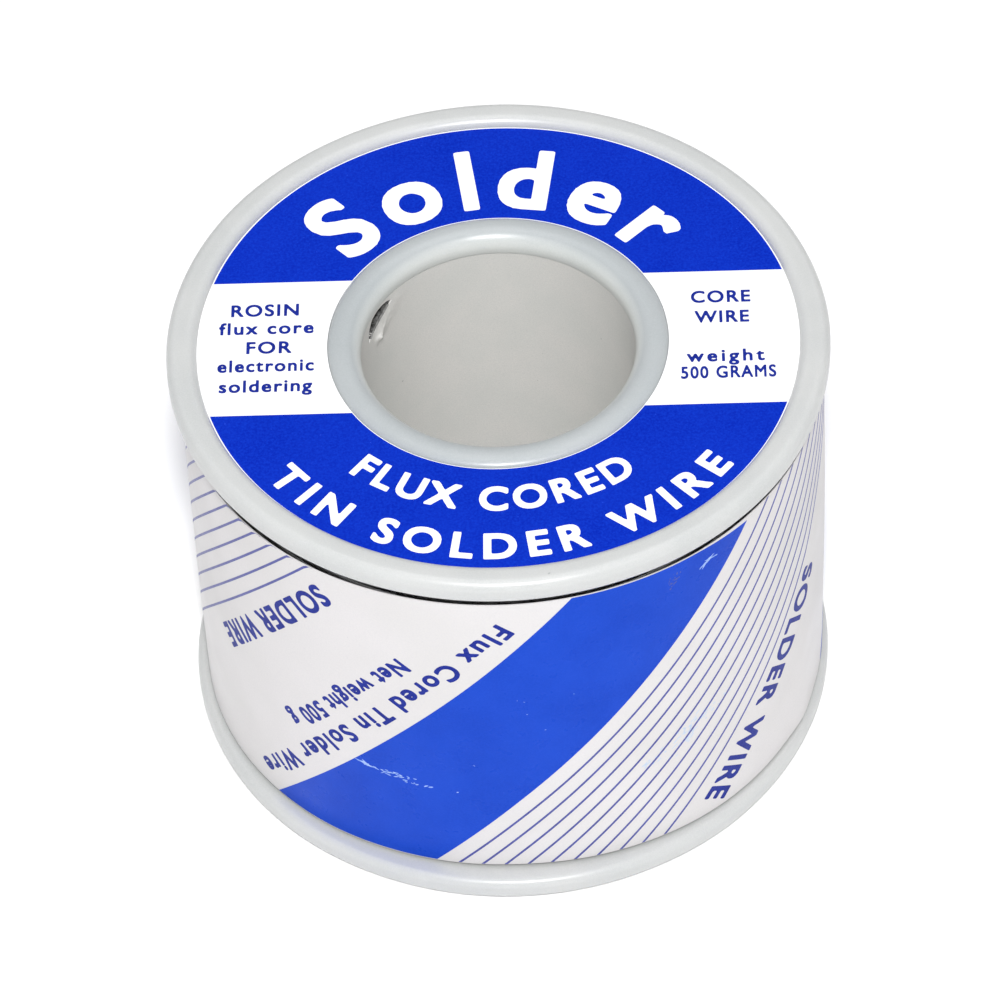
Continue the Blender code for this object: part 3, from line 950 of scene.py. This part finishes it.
def wrap_foot(s):
    """The height of its lower edge."""
    return WRAP_LOW + 0.04 + 0.04 * math.sin(s * 0.17 + 1.0)


def wrap_at(s, height, h):
    """The wrap's outer face, moved out by h: swollen at the sides, and with a kink at the lower right."""
    angle = s / PRINT_R - math.pi / 2
    rise = min(1.0, max(0.0, (height - WRAP_LOW) / (WRAP_HIGH - WRAP_LOW)))
    radius = FOOT_R + (WRAP_OUT - FOOT_R) * math.sin(rise * math.pi / 2) - 0.05
    radius += SIDE_SWELL * abs(math.cos(angle)) ** 1.4 * (1.0 - rise) + 0.30 * math.cos(angle)
    radius += 0.07 * math.sin(2 * angle + 1.1) + 0.05 * math.sin(3 * angle + 4.0) * (1.2 - rise)
    radius += 0.05 * noise.noise(Vector((math.cos(angle) * 3, math.sin(angle) * 3, height * 0.06)))
    kink = abs(math.degrees(angle) + 24.0) / 7.0
    radius += 0.22 * max(0.0, 1.0 - kink) * (1.0 - rise)
    lift = ease((s - 55) / 38) - ease((-s - 55) / 38)
    radius += 0.12 * lift + h
    return round_z(radius, angle, height)


def lie(a, b):
    """From the print's own directions, a along its slanted lines and b across them, to (s, height)."""
    s = -a * math.cos(SLANT) + b * math.sin(SLANT)
    return s, TOP - a * math.sin(SLANT) - b * math.cos(SLANT)


def along_slant(height, b, tilt):
    """How far round a slanted line has come at a height."""
    a = -((height - TOP) + b * math.cos(SLANT)) / (math.sin(SLANT) + tilt * math.cos(SLANT))
    return -a * math.cos(SLANT) + (b + tilt * a) * math.sin(SLANT)


def stripe(flat, left, right):
    """A slanted stripe between two lines, each (b, tilt) or (b, tilt, width added)."""
    low, high = WRAP_LOW - 1.0, WRAP_HIGH + 1.0
    corners = [(along_slant(low, *left), low), (along_slant(low, *right), low)]
    corners += [(along_slant(high, *right), high), (along_slant(high, *left), high)]
    flat.polygon(corners)


def crowned_stripe(flat, left, right, crown):
    """A slanted stripe whose upper end is cut along the height crown(s)."""
    low, upper = WRAP_LOW - 1.0, []
    for line in (right, left):
        s = 0.0
        for _ in range(12):
            s = along_slant(crown(s), *line)
        upper.append((s, crown(s)))
    flat.polygon([(along_slant(low, *left), low), (along_slant(low, *right), low)] + upper)


def wrap_trim(shape):
    """Keeps a print on the sheet: inside its ends, its foot and its head."""
    trim(shape, (((SHEET_START + 0.04, 0), (-1, 0)), ((SHEET_STOP - 0.04, 0), (1, 0)),
                 ((0, WRAP_LOW + 0.12), (0, -1)), ((0, HEAD + 0.1), (0, 1))))


def wrap_columns():
    count = round((SHEET_STOP - SHEET_START) / COLUMN)
    return [SHEET_START + (SHEET_STOP - SHEET_START) * i / count for i in range(count + 1)]


def wrap_rows():
    return [WRAP_LOW + ROW * j for j in range(1, 31)]


def on_wrap(name, flat, low, high, material):
    """Prints a flat layer on the wrap, where the flat x is s and the flat y is the height."""
    shape = flat.shape()
    wrap_trim(shape)
    slice_up(shape, wrap_columns(), wrap_rows())

    def at(s, height, h):
        top, foot = wrap_top(s) - 0.03, wrap_foot(s) + 0.03
        return wrap_at(s, min(max(height, foot), top), h)

    piece(name, printed(shape, at, low, high), material, WRAP, ())


PERIOD = 55.0  # how far apart, across its lines, the print repeats itself
LINE_HALF = 0.125


def band_crown(s):
    """The height of the front band's upper end."""
    return TOP - 3.80 - 0.064 * (s - 15.0)


def make_wrap_prints():
    bands = Flat()
    crowned_stripe(bands, (6.95, 0.0013), (22.12, -0.0107), band_crown)
    stripe(bands, (-46.0, 0.004), (-30.6, 0.004))
    stripe(bands, (6.95 + PERIOD, 0.0), (22.40 + PERIOD, 0.0))
    on_wrap("wrap_blue_bands", bands, -0.01, 0.014, WRAP_BLUE)
    lines = Flat()
    for i in range(10):
        for b, tilt in (
            (24.21 + 1.80 * i - 0.006 * i * i, -0.018 + 0.00003 * i ** 3),
            (-13.11 - 1.725 * i, 0.005),
            (24.56 + PERIOD + 1.9 * i, 0.0),
        ):
            stripe(lines, (b - LINE_HALF, tilt), (b + LINE_HALF, tilt))
    on_wrap("wrap_fine_lines", lines, -0.01, 0.016, FINE_INK)
    words = Flat()
    for text, cap, a, b, width, tilt, bold in (  # a and b as in lie()
        ("SOLDER WIRE", 3.05, -6.1, 41.4, 26.6, 0.0356, 0.032),
        ("Flux Cored Tin Solder Wire", 2.25, 6.0, 3.17, 45.5, 0.002, 0.03),
        ("Net weight 500 g", 2.05, 17.7, -0.20, 21.5, -0.001, 0.03),
        ("SOLDER WIRE", 2.6, 17.7, -11.1, 25.0, 0.005, 0.032),
        ("Flux Cored Tin Solder Wire", 2.25, -70.0, 3.15 + PERIOD, 48.0, 0.0, 0.03),
        ("Net weight 500 g", 2.05, -57.0, -0.25 + PERIOD, 22.6, 0.0, 0.03),
        ("Flux Cored Tin Solder Wire", 2.25, 44.0, 3.15 - PERIOD, 48.0, 0.0, 0.03),
        ("Net weight 500 g", 2.05, 56.0, -0.25 - PERIOD, 22.6, 0.0, 0.03),
    ):
        def put(x, a=a, b=b, tilt=tilt):
            # The words read down to the left, with the letters' tops at the lower right
            s, height = lie(a + x, b + tilt * (a + x))
            return s, height, math.atan2(-math.sin(SLANT), -math.cos(SLANT)) + tilt
        words.line_of_text(text, cap, width, put, bold)
    on_wrap("wrap_lettering", words, -0.01, 0.016, LETTER_INK)


def make_wrap_paper():
    columns = wrap_columns()
    rows = 30
    grid = [[(s, j / rows) for j in range(rows + 1)] for s in columns]

    def at(s, v, h):
        return wrap_at(s, wrap_foot(s) + (wrap_top(s) - wrap_foot(s)) * v, h)

    piece(
        "wrap_paper_sheet", sheet_mesh(grid, at, -0.12, 0.0), WRAP_PAPER, WRAP,
        ["wrap_label"],
    )

    def glue_at(s, height, h):
        return wrap_at(s, height, h - 0.13)

    half, clear, across, along = 4.2, 2.0, 14, 40
    strip = []
    for i in range(across + 1):
        strip.append([])
        for j in range(along + 1):
            s = SEAM_S - half + 2 * half * i / across + 0.25 * noise.noise(Vector((j * 0.4, i * 0.2, 5.0)))
            strip[i].append((s, WRAP_LOW + clear + (WRAP_HIGH - WRAP_LOW - 2 * clear) * j / along))
    piece(
        "seam_glue", sheet_mesh(strip, glue_at, -0.09, 0.0), GLUE, WRAP, ["wrap_seam_adhesive"],
    )


def flakes(flat, count, place, direction, length, width, size, rng):
    """Small irregular slivers scattered along a streak."""
    for _ in range(count):
        along = rng.gauss(0, 0.42) * length
        aside = rng.gauss(0, 0.42) * width
        s = place[0] + direction[0] * along - direction[1] * aside
        height = place[1] + direction[1] * along + direction[0] * aside
        long, thin = size * rng.uniform(0.5, 1.6), min(0.09, size * rng.uniform(0.10, 0.30))
        turn = math.atan2(direction[1], direction[0]) + rng.gauss(0, 0.35)
        c, d = math.cos(turn), math.sin(turn)
        corners = []
        for k in range(7):
            angle = math.tau * k / 7
            reach_out = rng.uniform(0.7, 1.15)
            x, y = long / 2 * math.cos(angle) * reach_out, thin * math.sin(angle) * reach_out
            corners.append((s + x * c - y * d, height + x * d + y * c))
        flat.polygon(corners)


def separate_flakes(slivers, name, material, low, high):
    """Each sliver is its own little sheet, so overlapping ones don't share corners."""
    points, faces = [], []
    for corners in slivers:
        n, start = len(corners), len(points)
        points += [wrap_at(s, height, high) for s, height in corners]
        points += [wrap_at(s, height, low) for s, height in corners]
        faces.append(tuple(start + k for k in range(n)))
        faces.append(tuple(start + n + k for k in reversed(range(n))))
        for k in range(n):
            m = (k + 1) % n
            faces.append((start + m, start + k, start + n + k, start + n + m))
    piece(name, mesh_of(points, faces), material, WRAP, ())


def make_wear():
    """Scratches through the blue, a grey rub on it, and faint blue rubs on the white."""
    rng = random.Random(11)

    def streak(*groups):
        """Slivers in groups of (count, place, direction, length, width, size of a sliver)."""
        flat = Flat()
        for group in groups:
            flakes(flat, *group, rng)
        return [[flat.points[index] for index in face] for face in flat.faces]

    down = Vector((1.0, -0.03)).normalized()
    separate_flakes(
        streak(
            (22, (-13.3, TOP - 32.2), down, 2.6, 0.42, 0.55),
            (9, (-15.6, TOP - 31.9), (0.97, -0.22), 1.6, 0.12, 0.7),
            (9, (-9.8, TOP - 33.0), down, 2.4, 0.25, 0.4),
            (5, (19.9, TOP - 6.1), (0.93, 0.36), 0.9, 0.10, 1.5),
            (2, (-4.4, TOP - 28.8), down, 0.2, 0.1, 0.22),
            (5, (2.0, TOP - 20.0), down, 6.0, 5.0, 0.16),
        ),
        "scratches_in_blue", SCUFF, 0.004, 0.022,
    )
    separate_flakes(
        streak((26, (16.0, TOP - 6.3), (0.4, 0.9), 1.3, 0.8, 0.24)),
        "grey_rub_on_blue", GREY_RUB, 0.004, 0.021,
    )
    separate_flakes(
        streak(
            (52, (17.9, TOP - 29.9), (0.75, 0.66), 4.4, 1.6, 0.55),
            (14, (13.4, TOP - 32.0), (0.8, 0.6), 1.6, 0.4, 0.6),
            (8, (22.2, TOP - 27.6), (0.8, 0.6), 1.0, 0.4, 0.3),
        ),
        "blue_rub_on_white", BLUE_RUB, -0.004, 0.010,
    )


# ---------------------------------------------------------------- stage, light and camera

def make_stage():
    """The floor, a hair below the object. It, the lights and the camera are placed in metres."""
    mesh = bpy.data.meshes.new("floor")
    half = 6.0
    corners = [(-half, -half, 0), (half, -half, 0), (half, half, 0), (-half, half, 0)]
    mesh.from_pydata(corners, [], [(0, 1, 2, 3)])
    floor = bpy.data.objects.new("floor", mesh)
    floor.location.z = -0.00005
    bpy.context.scene.collection.objects.link(floor)
    mesh.materials.append(surface(
        "pale_floor", ((0.955, 0.955, 0.955), (0.96, 0.96, 0.96), (0.95, 0.95, 0.95)), 60.0, (8.0, 0.3),
        (0.55, 0.65), ((3.0, 0.002, EVEN),), {"Specular IOR Level": 0.2},
    ))


def add_light(name, place, target, size, power):
    light = bpy.data.lights.new(name, "AREA")
    light.shape, light.size, light.energy = "DISK", size, power
    obj = bpy.data.objects.new(name, light)
    obj.location = place
    obj.rotation_euler = (Vector(target) - Vector(place)).to_track_quat("-Z", "Y").to_euler()
    bpy.context.scene.collection.objects.link(obj)


def make_light():
    world = bpy.data.worlds.new("studio")
    bpy.context.scene.world = world
    world.use_nodes = True
    background = world.node_tree.nodes["Background"]
    background.inputs["Color"].default_value = (1.0, 1.0, 1.0, 1.0)
    background.inputs["Strength"].default_value = 0.36
    middle = (0.0, 0.0, 0.024)
    add_light("flash", (0.008, -0.57, 0.85), middle, 0.10, 9.3)
    add_light("overhead", (0.0, 0.16, 0.95), middle, 0.70, 1.8)
    bpy.context.scene.view_settings.view_transform = "Standard"


def make_camera():
    """The photograph's own view: from the front, nearly 49 degrees down, with a slight roll."""
    elevation, roll = math.radians(48.387), math.radians(-2.898)
    ahead = Vector((0.0, math.cos(elevation), -math.sin(elevation)))
    level = Vector((1.0, 0.0, 0.0))
    upright = Vector((0.0, math.sin(elevation), math.cos(elevation)))
    right = level * math.cos(roll) + upright * math.sin(roll)
    up = upright * math.cos(roll) - level * math.sin(roll)
    camera = bpy.data.cameras.new("camera")
    camera.sensor_width, camera.lens = 36.0, 222.66
    camera.clip_start, camera.clip_end = 0.01, 50.0
    obj = bpy.data.objects.new("camera", camera)
    bpy.context.scene.collection.objects.link(obj)
    turn = Matrix((right, up, -ahead)).transposed().to_4x4()
    turn.translation = Vector((-0.00058, -0.41332, TOP * MM + 0.44105))
    obj.matrix_world = turn
    bpy.context.scene.camera = obj


make_camera()
make_light()
make_stage()
make_flanges()
make_hub()
make_slot_inside()
make_burr()
make_winding()
make_wire_ends()
make_tape()
make_label("top", LABEL_FACE, math.radians(-1.9))
make_label("bottom", LOWER_LABEL_FACE, math.radians(24.0))
make_wrap_paper()
make_wrap_prints()
make_wear()
